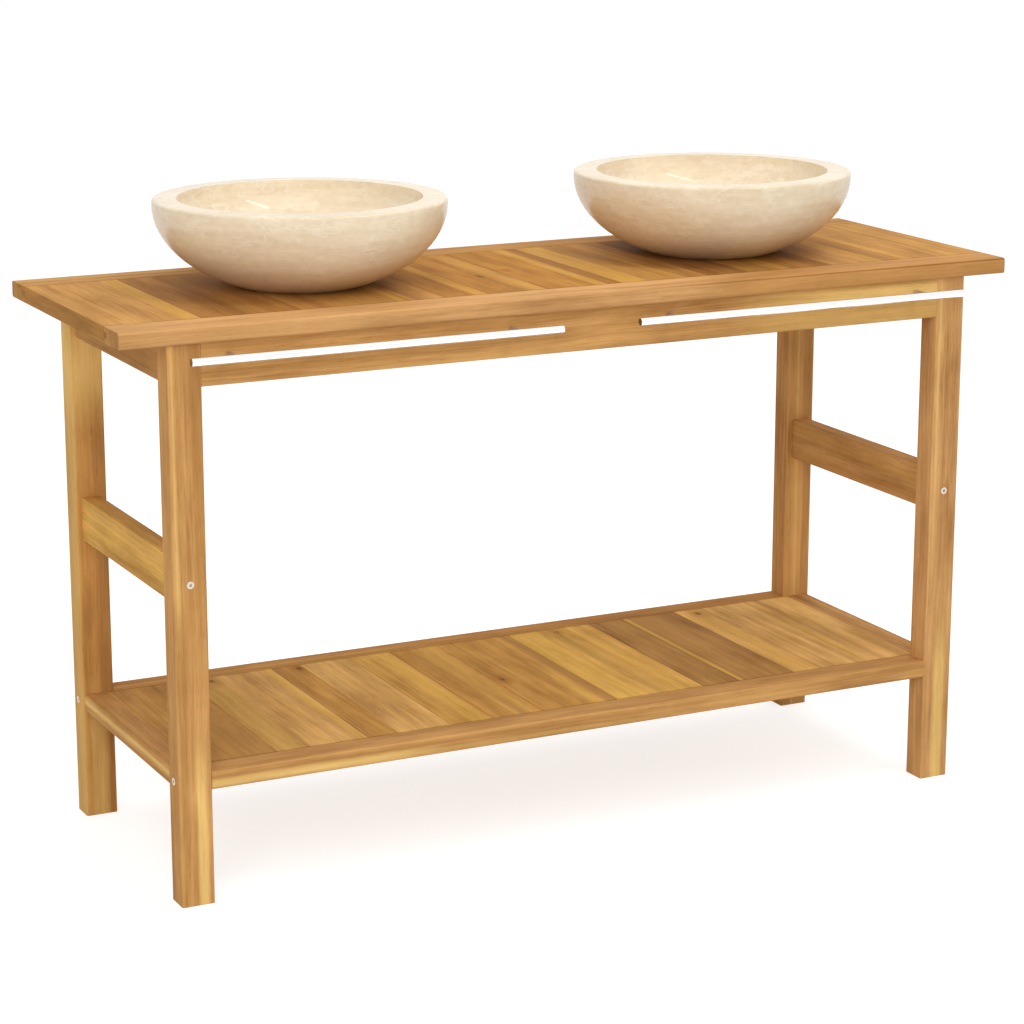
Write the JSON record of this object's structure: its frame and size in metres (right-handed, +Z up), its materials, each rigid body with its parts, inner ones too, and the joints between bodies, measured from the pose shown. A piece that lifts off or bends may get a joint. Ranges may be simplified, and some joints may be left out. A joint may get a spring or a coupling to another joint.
{
  "type": "double vanity stand",
  "caption": "Slatted hardwood washstand with round stone vessel bowls on top, towel bars under the front edge and a slatted shelf between straight legs.",
  "frame": {"origin": "on the floor under the middle of the whole unit, towel bars included", "axes": "+X along the stand to its right, +Y from the front to the back, +Z up"},
  "size_m": [1.32, 0.4684, 0.883],
  "materials": {
    "oiled_teak": "oiled, satin",
    "honed_marble": "polished",
    "polished_steel": "polished",
    "zinc_steel": "plated",
    "chromed_brass": "mirror",
    "black_rubber": "matte",
    "white_plastic": "matte"
  },
  "bodies": {
    "stand": {"leg_front_left": "oiled_teak", "leg_back_left": "oiled_teak", "leg_front_right": "oiled_teak", "leg_back_right": "oiled_teak", "apron_front": "oiled_teak", "apron_back": "oiled_teak", "apron_left": "oiled_teak", "apron_right": "oiled_teak", "stretcher_left": "oiled_teak", "stretcher_right": "oiled_teak", "top_rail_front": "oiled_teak", "top_rail_back": "oiled_teak", "shelf_rail_front": "oiled_teak", "shelf_rail_back": "oiled_teak", "shelf_rail_left": "oiled_teak", "shelf_rail_right": "oiled_teak", "top_board_01": "oiled_teak", "top_board_02": "oiled_teak", "top_board_03": "oiled_teak", "top_board_04": "oiled_teak", "top_board_05": "oiled_teak", "top_board_06": "oiled_teak", "top_board_07": "oiled_teak", "top_board_08": "oiled_teak", "top_board_09": "oiled_teak", "top_board_10": "oiled_teak", "top_board_11": "oiled_teak", "top_board_12": "oiled_teak", "top_board_13": "oiled_teak", "shelf_board_01": "oiled_teak", "shelf_board_02": "oiled_teak", "shelf_board_03": "oiled_teak", "shelf_board_04": "oiled_teak", "shelf_board_05": "oiled_teak", "shelf_board_06": "oiled_teak", "shelf_board_07": "oiled_teak", "shelf_board_08": "oiled_teak", "shelf_board_09": "oiled_teak", "shelf_board_10": "oiled_teak", "shelf_board_11": "oiled_teak", "shelf_board_12": "oiled_teak", "basin_left": "honed_marble", "basin_right": "honed_marble", "towel_bar_left": "polished_steel", "towel_bar_right": "polished_steel", "towel_bar_posts": "polished_steel", "frame_bolts": "polished_steel", "towel_post_screws": "zinc_steel", "top_screws": "zinc_steel", "barrel_nuts": "zinc_steel", "waste_body_left": "chromed_brass", "waste_body_right": "chromed_brass", "waste_lock_nuts": "chromed_brass", "flange_seals": "black_rubber", "waste_washers": "black_rubber", "plug_guides": "white_plastic"},
    "plug_left": {"waste_plug_left": "chromed_brass", "plug_seal_left": "black_rubber"},
    "plug_right": {"waste_plug_right": "chromed_brass", "plug_seal_right": "black_rubber"}
  },
  "joints": [
    {"name": "plug_lift_left", "type": "slide", "parent": "stand", "child": "plug_left", "axis": [0, 0, 1], "range_m": [0, 0.009]},
    {"name": "plug_lift_right", "type": "slide", "parent": "stand", "child": "plug_right", "axis": [0, 0, 1], "range_m": [0, 0.009]}
  ]
}
